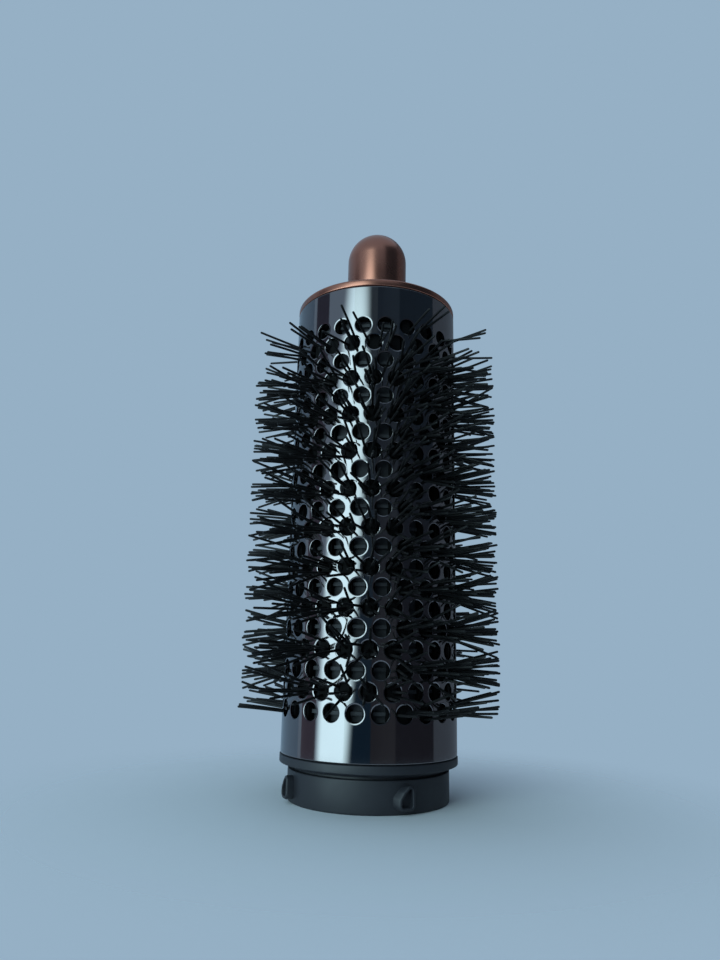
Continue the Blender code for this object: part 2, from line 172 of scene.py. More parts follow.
def makeSlate():
    material, tree, shader, place = startMaterial("slateFilledNylon", {"IOR": slateSet["ior"]})
    # real spark erosion is about 0.1 mm; drawn coarser so that it shows
    tooth = addNode(tree, "ShaderNodeTexNoise", {"Scale": 1 / (slateSet["tooth"] * mm), "Detail": 3.0},
                    {"Vector": place})
    flow = addNode(tree, "ShaderNodeTexNoise", {"Scale": 1 / (slateSet["flow"] * mm), "Detail": 3.0},
                   {"Vector": place})
    colour = addNode(tree, "ShaderNodeMix", {"data_type": "RGBA", mixA: linear(slateSet["colour"]),
                                             mixB: linear(slateSet["pale"])}, {0: flow.outputs[0]})
    rough = addNode(tree, "ShaderNodeMapRange", {"From Min": 0.35, "From Max": 0.7,
                                                 "To Min": slateSet["roughness"], "To Max": slateSet["rub"]},
                    {"Value": flow.outputs[0]})
    bump = addNode(tree, "ShaderNodeBump", {"Strength": 0.3, "Distance": slateSet["toothDepth"] * mm},
                   {"Height": tooth.outputs[0]})
    tree.links.new(colour.outputs[mixResult], shader.inputs["Base Color"])
    tree.links.new(rough.outputs[0], shader.inputs["Roughness"])
    tree.links.new(bump.outputs[0], shader.inputs["Normal"])
    return material


# drawn black nylon monofilament: near black with a waxy glint that changes along each bristle
bristleSet = {"colour": "#070708", "dusty": "#0f0f11", "roughness": 0.42, "dull": 0.62, "gloss": 0.35,
              "streak": 3.0}


def makeBristleNylon():
    material, tree, shader, place = startMaterial("blackNylonMonofilament",
                                                  {"Specular IOR Level": bristleSet["gloss"]})
    streak = addNode(tree, "ShaderNodeTexNoise", {"Scale": 1 / (bristleSet["streak"] * mm), "Detail": 2.0},
                     {"Vector": place})
    colour = addNode(tree, "ShaderNodeMix", {"data_type": "RGBA", mixA: linear(bristleSet["colour"]),
                                             mixB: linear(bristleSet["dusty"])}, {0: streak.outputs[0]})
    rough = addNode(tree, "ShaderNodeMapRange", {"From Min": 0.35, "From Max": 0.65,
                                                 "To Min": bristleSet["roughness"],
                                                 "To Max": bristleSet["dull"]},
                    {"Value": streak.outputs[0]})
    tree.links.new(colour.outputs[mixResult], shader.inputs["Base Color"])
    tree.links.new(rough.outputs[0], shader.inputs["Roughness"])
    return material


# moulded black nylon of the carriers: dull and faintly scuffed, it keeps the holes dark
mouldedSet = {"colour": "#040405", "scuffed": "#0b0b0c", "roughness": 0.75, "gloss": 0.12, "scuff": 2.0}


def makeMouldedNylon():
    material, tree, shader, place = startMaterial("blackMouldedNylon",
                                                  {"Roughness": mouldedSet["roughness"],
                                                   "Specular IOR Level": mouldedSet["gloss"]})
    scuff = addNode(tree, "ShaderNodeTexNoise", {"Scale": 1 / (mouldedSet["scuff"] * mm), "Detail": 3.0},
                    {"Vector": place})
    colour = addNode(tree, "ShaderNodeMix", {"data_type": "RGBA", mixA: linear(mouldedSet["colour"]),
                                             mixB: linear(mouldedSet["scuffed"])}, {0: scuff.outputs[0]})
    tree.links.new(colour.outputs[mixResult], shader.inputs["Base Color"])
    return material


# black heat-proof polymer of the inner mouldings: dull, clouded with grey, which is partly its mineral fill
# and partly painted light, lit patches for the open holes to show
coreSet = {"colour": "#070708", "fillGreyAndPaintedLight": "#5c5d62", "roughness": 0.65, "gloss": 0.15, "grainAndPaintedLight": 4.0,
           "grainDepth": 0.01}


def makeCorePolymer():
    material, tree, shader, place = startMaterial("blackHeatProofPolymer",
                                                  {"Roughness": coreSet["roughness"],
                                                   "Specular IOR Level": coreSet["gloss"]})
    grainAndPaintedLight = addNode(tree, "ShaderNodeTexNoise", {"Scale": 1 / (coreSet["grainAndPaintedLight"] * mm), "Detail": 3.0},
                    {"Vector": place})
    # the grey clouds are partly painted light: lit patches on the inner mouldings seen through the holes
    colour = addNode(tree, "ShaderNodeMix", {"data_type": "RGBA", mixA: linear(coreSet["colour"]),
                                             mixB: linear(coreSet["fillGreyAndPaintedLight"])}, {0: grainAndPaintedLight.outputs[0]})
    bump = addNode(tree, "ShaderNodeBump", {"Strength": 0.3, "Distance": coreSet["grainDepth"] * mm},
                   {"Height": grainAndPaintedLight.outputs[0]})
    tree.links.new(colour.outputs[mixResult], shader.inputs["Base Color"])
    tree.links.new(bump.outputs[0], shader.inputs["Normal"])
    return material


# zinc-plated steel of the fasteners: pale and faintly bluish, with a bloom that dulls it in patches
zincSet = {"colour": "#b4b8bd", "bloom": "#9aa2ab", "roughness": 0.28, "dull": 0.5, "bloomSize": 1.5}


def makeZincSteel():
    material, tree, shader, place = startMaterial("zincPlatedSteel", {"Metallic": 1.0})
    bloom = addNode(tree, "ShaderNodeTexNoise", {"Scale": 1 / (zincSet["bloomSize"] * mm), "Detail": 3.0},
                    {"Vector": place})
    colour = addNode(tree, "ShaderNodeMix", {"data_type": "RGBA", mixA: linear(zincSet["colour"]),
                                             mixB: linear(zincSet["bloom"])}, {0: bloom.outputs[0]})
    rough = addNode(tree, "ShaderNodeMapRange", {"To Min": zincSet["roughness"], "To Max": zincSet["dull"]},
                    {"Value": bloom.outputs[0]})
    tree.links.new(colour.outputs[mixResult], shader.inputs["Base Color"])
    tree.links.new(rough.outputs[0], shader.inputs["Roughness"])
    return material


blackNickel = makeBlackNickel()
copper = makeCopper()
slate = makeSlate()
bristleNylon = makeBristleNylon()
mouldedNylon = makeMouldedNylon()
corePolymer = makeCorePolymer()
zincSteel = makeZincSteel()
print("materials made")


sharpAngle = 38.0  # faces that meet at more than this keep a sharp edge


# the point at a radius, an angle round the barrel and a height
def at(radius, angle, height):
    return Vector((radius * math.sin(angle), -radius * math.cos(angle), height))


def addPiece(name, verts, faces, material, solids):
    mesh = bpy.data.meshes.new(name)
    mesh.from_pydata([Vector(point) * mm for point in verts], [], faces)
    mesh.materials.append(material)
    mesh.shade_smooth()
    mesh.set_sharp_from_angle(angle=math.radians(sharpAngle))
    piece = bpy.data.objects.new(name, mesh)
    scene.collection.objects.link(piece)
    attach(piece, "root")
    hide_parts(*solids)
    return piece


# corners are (radius, height, rounding); each rounding becomes a small arc
def roundedProfile(corners, closed, arcSteps=5):
    points = []
    for index, (radius, height, rounding) in enumerate(corners):
        here = Vector((radius, height))
        if rounding == 0 or (not closed and index in (0, len(corners) - 1)):
            points.append(here)
            continue
        toBefore = (Vector(corners[index - 1][:2]) - here).normalized()
        toAfter = (Vector(corners[(index + 1) % len(corners)][:2]) - here).normalized()
        half = toBefore.angle(toAfter) / 2
        centre = here + (toBefore + toAfter).normalized() * rounding / math.sin(half)
        start = here + toBefore * rounding / math.tan(half) - centre
        end = here + toAfter * rounding / math.tan(half) - centre
        for step in range(arcSteps + 1):
            points.append(centre + start.slerp(end, step / arcSteps).normalized() * rounding)
    return points


# the profile runs down the outer side; an open one starts and ends on the axis
def turned(profile, sides, closed):
    verts, faces, rings = [], [], []
    for radius, height in profile:
        count = 1 if radius < tiny else sides
        rings.append([len(verts) + index for index in range(count)])
        verts += [at(radius, fullTurn * index / sides, height) for index in range(count)]
    pairs = list(zip(rings, rings[1:])) + ([(rings[-1], rings[0])] if closed else [])
    for upper, lower in pairs:
        for side in range(sides):
            after = (side + 1) % sides
            if len(upper) == 1:
                faces.append((upper[0], lower[side], lower[after]))
            elif len(lower) == 1:
                faces.append((upper[side], lower[0], upper[after]))
            else:
                faces.append((upper[side], lower[side], lower[after], upper[after]))
    return verts, faces


# closed skin over rings of points that follow each other in verts, from the foot outwards
def joinRings(faces, start, rings, sides):
    for level in range(rings - 1):
        lower, upper = start + level * sides, start + (level + 1) * sides
        for side in range(sides):
            after = (side + 1) % sides
            faces.append((lower + side, lower + after, upper + after, upper + side))
    last = start + (rings - 1) * sides
    faces.append(tuple(range(start, start + sides))[::-1])
    faces.append(tuple(range(last, last + sides)))


# connector collar with four hollow bayonet lugs and the screw bosses inside it
collarSet = {"radius": 18.9, "top": 6.95, "bore": 15.9, "neck": 17.4, "neckTop": 9.9, "groove": 17.75,
             "grooveTop": 7.5, "edge": 0.4, "topEdge": 0.24, "neckEdge": 0.2, "grooveEdge": 0.1, "sides": 128,
             "lugCount": 4, "lugAngle": 25.0, "lugHeight": 2.8, "standoff": 1.7, "rim": 0.66,
             "recess": 1.35, "recessDraft": 0.08, "lugEdge": 0.4, "lip": 0.16, "lugArcSteps": 4,
             "lugSamples": 72, "sunk": 0.9,
             "bossCircle": 13.6, "boss": 2.7, "bossBottom": 4.7, "bossEdge": 0.3, "bossSides": 32,
             # a lug's outline wraps these circles: across, up, radius; its foot bulges on the lead-in side
             "lugFace": [(-0.66, -0.55, 1.25), (-0.62, 0.15, 1.25), (0.00, 1.22, 1.18), (0.80, 2.15, 1.08),
                         (0.74, -0.58, 1.22)],
             "lugFoot": [(-1.15, -0.45, 1.30), (-1.05, 0.30, 1.42), (-0.45, 1.25, 1.30), (0.70, 2.12, 1.08),
                         (0.74, -0.58, 1.22)]}


def lugOutline(inset, flare):
    circles = [Vector(face).lerp(Vector(foot), flare)
               for face, foot in zip(collarSet["lugFace"], collarSet["lugFoot"])]
    outline = []
    for index in range(collarSet["lugSamples"]):
        angle = fullTurn * index / collarSet["lugSamples"]
        facing = Vector((math.cos(angle), math.sin(angle)))
        furthest = max(circles, key=lambda circle: circle.xy.dot(facing) + circle.z)
        outline.append(furthest.xy + facing * (furthest.z - inset))
    return outline


def lugMesh(angle):
    faceRadius = collarSet["radius"] + collarSet["standoff"]
    edge, lip, arcSteps = collarSet["lugEdge"], collarSet["lip"], collarSet["lugArcSteps"]
    arc = [math.pi / 2 * step / arcSteps for step in range(arcSteps + 1)]
    # (inset of the outline, depth below the face) from the collar out and down into the recess
    loops = [(0, collarSet["standoff"] + collarSet["sunk"])]
    loops += [(edge * (1 - math.cos(turn)), edge * (1 - math.sin(turn))) for turn in arc]
    loops += [(collarSet["rim"] - lip + lip * math.sin(turn), lip * (1 - math.cos(turn))) for turn in arc]
    loops += [(collarSet["rim"] + collarSet["recessDraft"], collarSet["recess"])]
    verts, faces = [], []
    outward, sideways = at(1, angle, 0), at(1, angle + math.pi / 2, 0)
    for inset, depth in loops:
        flare = depth / collarSet["standoff"] if inset == 0 else 0
        for point in lugOutline(inset, flare):
            verts.append(outward * (faceRadius - depth) + sideways * point.x
                         + Vector((0, 0, collarSet["lugHeight"] + point.y)))
    joinRings(faces, 0, len(loops), collarSet["lugSamples"])
    return verts, faces


def bossMesh(angle):
    corners = [(0, collarSet["neckTop"], 0), (collarSet["boss"], collarSet["neckTop"], collarSet["neckEdge"]),
               (collarSet["boss"], collarSet["bossBottom"], collarSet["bossEdge"]),
               (0, collarSet["bossBottom"], 0)]
    verts, faces = turned(roundedProfile(corners, False), collarSet["bossSides"], False)
    centre = at(collarSet["bossCircle"], angle, 0)
    return [point + centre for point in verts], faces


def makeCollar():
    corners = [(collarSet["neck"], collarSet["neckTop"], collarSet["neckEdge"]),
               (collarSet["neck"], collarSet["grooveTop"], 0),
               (collarSet["groove"], collarSet["grooveTop"], collarSet["grooveEdge"]),
               (collarSet["groove"], collarSet["top"], 0),
               (collarSet["radius"], collarSet["top"], collarSet["topEdge"]),
               (collarSet["radius"], 0, collarSet["edge"]), (collarSet["bore"], 0, collarSet["edge"]),
               (collarSet["bore"], collarSet["neckTop"], collarSet["neckEdge"])]
    verts, faces = turned(roundedProfile(corners, True), collarSet["sides"], True)
    for index in range(collarSet["lugCount"]):
        angle = math.radians(collarSet["lugAngle"]) + index * fullTurn / collarSet["lugCount"]
        for moreVerts, moreFaces in (lugMesh(angle), bossMesh(angle + math.pi / collarSet["lugCount"])):
            faces += [tuple(corner + len(verts) for corner in face) for face in moreFaces]
            verts += moreVerts
    addPiece("bayonetCollar", verts, faces, slate, ["connector_collar"])


# flange ring: an upright edge of the barrel's size over a cone that runs in to the collar
flangeSet = {"outer": 20.93, "top": 10.06, "edge": 1.76, "bottom": 7.55, "foot": 18.9, "inner": 17.7,
             "spigot": 19.95, "spigotTop": 12.9, "round": 0.22, "spigotEdge": 0.2, "innerEdge": 0.1,
             "sides": 128}


def makeFlange():
    corners = [(flangeSet["spigot"], flangeSet["spigotTop"], flangeSet["spigotEdge"]),
               (flangeSet["spigot"], flangeSet["top"], 0),
               (flangeSet["outer"], flangeSet["top"], flangeSet["round"]),
               (flangeSet["outer"], flangeSet["top"] - flangeSet["edge"], flangeSet["round"]),
               (flangeSet["foot"], flangeSet["bottom"], flangeSet["round"]),
               (flangeSet["inner"], flangeSet["bottom"], flangeSet["innerEdge"]),
               (flangeSet["inner"], flangeSet["spigotTop"], flangeSet["innerEdge"])]
    verts, faces = turned(roundedProfile(corners, True), flangeSet["sides"], True)
    addPiece("flangeRing", verts, faces, slate, ["flange_ring"])


makeCollar()
makeFlange()
print("collar and flange made")


# end cap and finger tip
capSet = {"outer": 20.8, "bottom": 120.28, "top": 122.1, "crown": 0.62, "lower": 0.25, "bolt": 1.8,
          "spigot": 19.9, "spigotBottom": 117.4, "boltEdge": 0.1, "spigotEdge": 0.2, "arcSteps": 7,
          "sides": 128}
tipSet = {"radius": 7.95, "bottom": 122.12, "top": 145.6, "foot": 0.35, "cavity": 6.55, "cavityTop": 132.0,
          "cavityEdge": 0.15, "sides": 96, "domeSteps": 20}


def makeCap():
    corners = [(capSet["bolt"], capSet["top"], capSet["boltEdge"]),
               (capSet["outer"], capSet["top"], capSet["crown"]),
               (capSet["outer"], capSet["bottom"], capSet["lower"]), (capSet["spigot"], capSet["bottom"], 0),
               (capSet["spigot"], capSet["spigotBottom"], capSet["spigotEdge"]),
               (capSet["bolt"], capSet["spigotBottom"], capSet["boltEdge"])]
    verts, faces = turned(roundedProfile(corners, True, capSet["arcSteps"]), capSet["sides"], True)
    addPiece("copperEndCap", verts, faces, copper, ["end_cap"])


def makeTip():
    radius = tipSet["radius"]
    profile = []
    for step in range(tipSet["domeSteps"] + 1):
        angle = math.pi / 2 * step / tipSet["domeSteps"]
        profile.append((radius * math.sin(angle), tipSet["top"] - radius * (1 - math.cos(angle))))
    foot = [(radius, tipSet["top"] - radius, 0), (radius, tipSet["bottom"], tipSet["foot"]),
            (tipSet["cavity"], tipSet["bottom"], tipSet["cavityEdge"]),
            (tipSet["cavity"], tipSet["cavityTop"], 0), (0, tipSet["cavityTop"], 0)]
    profile += [tuple(point) for point in roundedProfile(foot, False)[1:]]
    verts, faces = turned(profile, tipSet["sides"], False)
    addPiece("copperFingerTip", verts, faces, copper, ["cool_tip"])


makeCap()
makeTip()
print("end cap and tip made")


# perforated sleeve: round holes whose edges dip in a little, staggered row by row
sleeveSet = {"radius": 20.8, "wall": 0.5, "bottom": 10.2, "top": 120.1, "columns": 24, "rows": 21,
             "rowPitch": 4.48, "firstRow": 20.35, "hole": 2.0, "rollWide": 0.34, "rollTurn": 22.0,
             "rollSteps": 4, "perSide": 4, "endRound": 0.28, "endSteps": 4}
halfColumn = math.pi / sleeveSet["columns"]
# border points that agree to one part in these, of a turn or of a millimetre, are one point
turnGrid, lengthGrid = 1000000, 10000


# holes stand on every other half column of a row
def hasHole(step, row):
    return (step + row) % 2 == 1


# the six-sided patch of sheet round each hole, as (across, up)
def holePatch():
    across = halfColumn * sleeveSet["radius"]
    rise = sleeveSet["rowPitch"]
    peak = (across ** 2 + rise ** 2) / (2 * rise)
    shoulder = (rise ** 2 - across ** 2) / (2 * rise)
    corners = [(across, -shoulder), (across, shoulder), (0, peak), (-across, shoulder), (-across, -shoulder),
               (0, -peak)]
    patch = []
    for start, end in zip(corners, corners[1:] + corners[:1]):
        for step in range(sleeveSet["perSide"]):
            patch.append(Vector(start).lerp(Vector(end), step / sleeveSet["perSide"]))
    return patch


def sleeveMesh():
    radius, wall = sleeveSet["radius"], sleeveSet["wall"]
    lastTurn = math.radians(sleeveSet["rollTurn"])
    bendRadius = sleeveSet["rollWide"] / math.sin(lastTurn)
    patch = holePatch()
    count = len(patch)
    verts, faces, normals, shared = [], [], [], {}

    # patches meet, so a point of their borders is made once
    def border(angle, height, depth):
        key = (round(angle / fullTurn * turnGrid) % turnGrid, round(height * lengthGrid),
               round(depth * lengthGrid))
        if key not in shared:
            shared[key] = len(verts)
            verts.append(at(radius - depth, angle, height))
        return shared[key]

    def addFace(corners, facing):
        faces.append(corners)
        normals.extend(facing)

    turns = [lastTurn * step / sleeveSet["rollSteps"] for step in range(sleeveSet["rollSteps"] + 1)]
    # (distance outside the hole's wall, depth under the surface) of each ring down the dip and the wall
    rings = [(sleeveSet["rollWide"] - bendRadius * math.sin(turn), bendRadius * (1 - math.cos(turn)))
             for turn in turns]
    rings.append((0, wall))
    # how far the surface has turned over at both sides of each strip; the dip ends in a corner
    leans = list(zip(turns, turns[1:])) + [(math.pi / 2, math.pi / 2)]
    for row in range(sleeveSet["rows"]):
        height = sleeveSet["firstRow"] + row * sleeveSet["rowPitch"]
        for step in range(2 * sleeveSet["columns"]):
            if not hasHole(step, row):
                continue
            centre = step * halfColumn
            outer = [border(centre + point.x / radius, height + point.y, 0) for point in patch]
            inner = [border(centre + point.x / radius, height + point.y, wall) for point in patch]
            loops, ways = [], []
            for outside, depth in rings:
                loop, way = [], []
                for point in patch:
                    away = point.normalized()
                    spot = away * (sleeveSet["hole"] + outside)
                    angle = centre + spot.x / radius
                    loop.append(len(verts))
                    verts.append(at(radius - depth, angle, height + spot.y))
                    towards = at(1, angle + math.pi / 2, 0) * away.x + Vector((0, 0, away.y))
                    way.append((at(1, angle, 0), towards))
                loops.append(loop)
                ways.append(way)
            for index in range(count):
                after = (index + 1) % count
                outwards = [verts[corner].xy.to_3d().normalized()
                            for corner in (outer[index], outer[after], loops[0][after], loops[0][index])]
                addFace((outer[index], outer[after], loops[0][after], loops[0][index]), outwards)
                for level, (upper, lower) in enumerate(leans):
                    corners = ((level, index, upper), (level, after, upper),
                               (level + 1, after, lower), (level + 1, index, lower))
                    addFace(tuple(loops[ring][place] for ring, place, lean in corners),
                            [ways[ring][place][0] * math.cos(lean) - ways[ring][place][1] * math.sin(lean)
                             for ring, place, lean in corners])
                backFace = (loops[-1][index], loops[-1][after], inner[after], inner[index])
                addFace(backFace, [-verts[corner].xy.to_3d().normalized() for corner in backFace])
    addSleeveEnd(border, addFace, patch, 1)
    addSleeveEnd(border, addFace, patch, -1)
    return verts, faces, normals


# plain band between the last row of holes and a rounded end; way is 1 at the top and -1 at the bottom
def addSleeveEnd(border, addFace, patch, way):
    radius, wall, rounding = sleeveSet["radius"], sleeveSet["wall"], sleeveSet["endRound"]
    row = sleeveSet["rows"] - 1 if way == 1 else 0
    end = sleeveSet["top"] if way == 1 else sleeveSet["bottom"]
    height = sleeveSet["firstRow"] + row * sleeveSet["rowPitch"]
    shoulder = patch[sleeveSet["perSide"]].y
    rim = [point for point in patch if point.y * way >= shoulder - tiny]
    zigzag = sorted(rim, key=lambda point: point.x)[:-1]
    line = []
    for step in range(2 * sleeveSet["columns"]):
        if hasHole(step, row):
            line += [(step * halfColumn + point.x / radius, height + point.y) for point in zigzag]
    turns = [math.pi / 2 * step / sleeveSet["endSteps"] for step in range(sleeveSet["endSteps"] + 1)]
    # (depth, height, lean of the surface) over the rounded edge; the end face then runs in flat
    levels = [(rounding * (1 - math.cos(turn)), end - way * rounding * (1 - math.sin(turn)), turn)
              for turn in turns]
    for index in range(len(line)):
        after = (index + 1) % len(line)
        angles = (line[index][0], line[after][0])[::way]
        starts = (line[index][1], line[after][1])[::way]
        for depth, upright, flip in ((0, levels[0][1], 1), (wall, end, -1)):
            loop = [border(angles[0], starts[0], depth), border(angles[1], starts[1], depth),
                    border(angles[1], upright, depth), border(angles[0], upright, depth)]
            facing = [at(flip, angle, 0) for angle in (angles[0], angles[1], angles[1], angles[0])]
            addFace(tuple(loop[::flip]), facing[::flip])
        for low, high in zip(levels, levels[1:] + [(wall, end, math.pi / 2)]):
            loop = [border(angles[0], low[1], low[0]), border(angles[1], low[1], low[0]),
                    border(angles[1], high[1], high[0]), border(angles[0], high[1], high[0])]
            facing = [at(math.cos(lean), angle, way * math.sin(lean))
                      for angle, lean in ((angles[0], low[2]), (angles[1], low[2]), (angles[1], high[2]),
                                          (angles[0], high[2]))]
            addFace(tuple(loop), facing)


def makeSleeve():
    verts, faces, normals = sleeveMesh()
    sleeve = addPiece("perforatedSleeve", verts, faces, blackNickel, ["barrel_sleeve"])
    # the true surface directions, so that the mirror shows no facets
    sleeve.data.normals_split_custom_set(normals)


makeSleeve()
print("sleeve made")


# bristle carriers: a slotted panel behind the sleeve, a boss behind each hole in use, and its tuft
carrierSet = {"count": 4, "firstStep": -8, "radius": 19.8, "wall": 1.5, "bottom": 15.5, "top": 114.8,
              "band": 3.0, "bar": 2.3, "inlay": 0.05, "slices": 24, "barSlices": 3, "boss": 1.72,
              "bossTop": 18.9, "bossFoot": 17.8, "bossEdge": 0.2, "bossSides": 20, "rib": 0.8,
              "ribSpread": 1.3, "ribOuter": 18.7, "ribSunk": 0.2, "baffle": 3.8, "baffleOuter": 17.8,
              "baffleWall": 1.0, "baffleShort": 0.5}
# thick and tip are radii, fanTall widens the fan up and down, and turnJitter is radians
tuftSet = {"strands": (5, 7), "nextStrands": (2, 4), "endStrands": (1, 2), "footStrands": (3, 5),
           "endRows": 2, "fullCount": 4, "ring": 1.2, "ringJitter": 0.35, "middleRing": 0.15,
           "turnJitter": 0.25, "thick": 0.32, "tip": 0.28, "endOut": 0.7, "endShrink": 0.55, "root": 18.9,
           "reach": 30.9, "reachSpread": 0.3, "shortShare": 0.1, "shortLeast": 0.5, "shortMost": 2.0,
           "fan": 10.0, "fanTall": 1.2, "lean": 8.0, "endLift": 9.0, "strayShare": 0.08, "strayLean": 15.0,
           "bend": 0.2, "sides": 7, "rings": 6, "seed": 5}


# the half columns of a carrier's tufts; every other carrier stands on the odd ones, in the rows between
def carrierSteps(carrier):
    perRow = sleeveSet["columns"] // carrierSet["count"]
    first = carrierSet["firstStep"] + carrier * 2 * perRow - carrier % 2
    return [first + 2 * index for index in range(perRow)]


# a block bent round the barrel between two angles and two heights
def bentBlock(verts, faces, inner, outer, angles, heights, slices):
    start = len(verts)
    for index in range(slices + 1):
        angle = angles[0] + (angles[1] - angles[0]) * index / slices
        verts += [at(outer, angle, heights[0]), at(outer, angle, heights[1]),
                  at(inner, angle, heights[1]), at(inner, angle, heights[0])]
    for index in range(slices):
        first = start + 4 * index
        for side in range(4):
            after = (side + 1) % 4
            faces.append((first + side, first + 4 + side, first + 4 + after, first + after))
    faces.append((start, start + 1, start + 2, start + 3))
    last = start + 4 * slices
    faces.append((last + 3, last + 2, last + 1, last))


def addPanel(verts, faces, carrier):
    steps = carrierSteps(carrier)
    outer, inner = carrierSet["radius"], carrierSet["radius"] - carrierSet["wall"]
    half = carrierSet["bar"] / 2 / outer
    ends = (steps[0] * halfColumn - half, steps[-1] * halfColumn + half)
    low, high = carrierSet["bottom"], carrierSet["top"]
    bentBlock(verts, faces, inner, outer, ends, (low, low + carrierSet["band"]), carrierSet["slices"])
    bentBlock(verts, faces, inner, outer, ends, (high - carrierSet["band"], high), carrierSet["slices"])
    # the bars run into the bands and lie a little inside their faces
    inlay = carrierSet["inlay"]
    half -= inlay / outer
    for step in steps:
        angles = (step * halfColumn - half, step * halfColumn + half)
        bentBlock(verts, faces, inner + inlay, outer - inlay, angles, (low + inlay, high - inlay),
                  carrierSet["barSlices"])


# cross ribs tie the bars together, and a baffle behind each column of open holes turns the air sideways; the
# baffles are also dark sheets that stand in for shade, hiding the bright surround behind the barrel so that
# the open holes look dark
def addBaffles(verts, faces, carrier, draw):
    steps = carrierSteps(carrier)
    low = carrierSet["bottom"] + carrierSet["baffleShort"]
    high = carrierSet["top"] - carrierSet["baffleShort"]
    outer, halfBar = carrierSet["baffleOuter"], carrierSet["bar"] / 2 / carrierSet["radius"]
    ends = (steps[0] * halfColumn - halfBar, steps[-1] * halfColumn + halfBar)
    for row in range(sleeveSet["rows"]):
        if hasHole(steps[0] + 1, row):
            height = sleeveSet["firstRow"] + row * sleeveSet["rowPitch"]
            height += draw.uniform(-1, 1) * carrierSet["ribSpread"]
            bentBlock(verts, faces, outer - carrierSet["ribSunk"], carrierSet["ribOuter"], ends,
                      (height - carrierSet["rib"], height), carrierSet["slices"])
    halfBaffle = carrierSet["baffle"] / 2 / outer
    for step in steps[:-1]:
        angle = (step + 1) * halfColumn
        bentBlock(verts, faces, outer - carrierSet["baffleWall"], outer,
                  (angle - halfBaffle, angle + halfBaffle), (low, high), carrierSet["barSlices"])


def addBoss(verts, faces, angle, height):
    outward, sideways, upward = at(1, angle, 0), at(1, angle + math.pi / 2, 0), Vector((0, 0, 1))
    start, sides, edge = len(verts), carrierSet["bossSides"], carrierSet["bossEdge"]
    rings = [(carrierSet["boss"], carrierSet["bossFoot"]), (carrierSet["boss"], carrierSet["bossTop"] - edge),
             (carrierSet["boss"] - edge, carrierSet["bossTop"])]
    for radius, reach in rings:
        for side in range(sides):
            turn = fullTurn * side / sides
            verts.append(outward * reach + (sideways * math.cos(turn) + upward * math.sin(turn)) * radius
                         + upward * height)
    joinRings(faces, start, len(rings), sides)


sideGuide = Vector((0.31, 0.17, 0.93))  # steeper than any bristle, to take its sides from


# one bristle: a slim tube along a slightly bent line, with an eased end
def addBristle(verts, faces, root, along, bend, length, draw):
    start, sides, count = len(verts), tuftSet["sides"], tuftSet["rings"]
    sideways = along.cross(sideGuide).normalized()
    upward = along.cross(sideways).normalized()
    twist = draw.uniform(0, fullTurn)
    for ring in range(count):
        share = ring / (count - 2) if ring < count - 1 else 1
        radius = tuftSet["thick"] + (tuftSet["tip"] - tuftSet["thick"]) * share
        centre = root + along * length * share + bend * share ** 2
        if ring == count - 1:
            centre += along * radius * tuftSet["endOut"]
            radius *= tuftSet["endShrink"]
        for side in range(sides):
            turn = twist + fullTurn * side / sides
            verts.append(centre + (sideways * math.cos(turn) + upward * math.sin(turn)) * radius)
    joinRings(faces, start, count, sides)


# tufts near the barrel's ends have fewer bristles
def strandCount(row, draw):
    fromTop = sleeveSet["rows"] - 1 - row
    if row < tuftSet["endRows"]:
        return draw.randint(*tuftSet["footStrands"])
    if fromTop < tuftSet["endRows"]:
        return draw.randint(*tuftSet["endStrands" if fromTop == 0 else "nextStrands"])
    return draw.randint(*tuftSet["strands"])


def addTuft(verts, faces, angle, height, row, draw):
    outward, sideways, upward = at(1, angle, 0), at(1, angle + math.pi / 2, 0), Vector((0, 0, 1))
    nearEnd = min(row, sleeveSet["rows"] - 1 - row) < tuftSet["endRows"]
    tall = 1.0 if nearEnd else tuftSet["fanTall"]
    count = strandCount(row, draw)
    spin = draw.uniform(0, fullTurn)
    for strand in range(count):
        # a full tuft has one in the middle and the rest round it
        if strand == 0 and count >= tuftSet["fullCount"]:
            ring = tuftSet["middleRing"]
        else:
            ring = tuftSet["ring"] + draw.uniform(-1, 1) * tuftSet["ringJitter"]
        turn = spin + fullTurn * strand / max(count - 1, 1)
        turn += draw.uniform(-tuftSet["turnJitter"], tuftSet["turnJitter"])
        aside = sideways * math.cos(turn) + upward * math.sin(turn)
        isStray = draw.random() < tuftSet["strayShare"] and tuftSet["endRows"] <= row < sleeveSet["rows"] - 1
        fanSlope = math.tan(math.radians(tuftSet["fan"] * ring / tuftSet["ring"]))
        lean = math.radians(tuftSet["strayLean"] if isStray else tuftSet["lean"])
        along = outward + (sideways * math.cos(turn) + upward * math.sin(turn) * tall) * fanSlope
        along += (sideways * draw.uniform(-1, 1) + upward * draw.uniform(-1, 1)) * math.tan(lean)
        if nearEnd:
            along += upward * math.tan(math.radians(tuftSet["endLift"])) * draw.random()
        if row == 0:
            along.z = abs(along.z)  # none hangs over the plain band
        reach = tuftSet["reach"] - abs(draw.gauss(0, tuftSet["reachSpread"]))
        if draw.random() < tuftSet["shortShare"]:
            reach -= draw.uniform(tuftSet["shortLeast"], tuftSet["shortMost"])
        along.normalize()
        length = (reach - tuftSet["root"]) / along.dot(outward)
        bend = (sideways * draw.gauss(0, 1) + upward * draw.gauss(0, 1)) * tuftSet["bend"]
        root = outward * tuftSet["root"] + upward * height + aside * ring
        addBristle(verts, faces, root, along, bend, length, draw)


# row, angle and height of each hole that the carrier's tufts stand in
def tuftPlaces(carrier):
    steps = carrierSteps(carrier)
    return [(row, step * halfColumn, sleeveSet["firstRow"] + row * sleeveSet["rowPitch"])
            for row in range(sleeveSet["rows"]) if hasHole(steps[0], row) for step in steps]


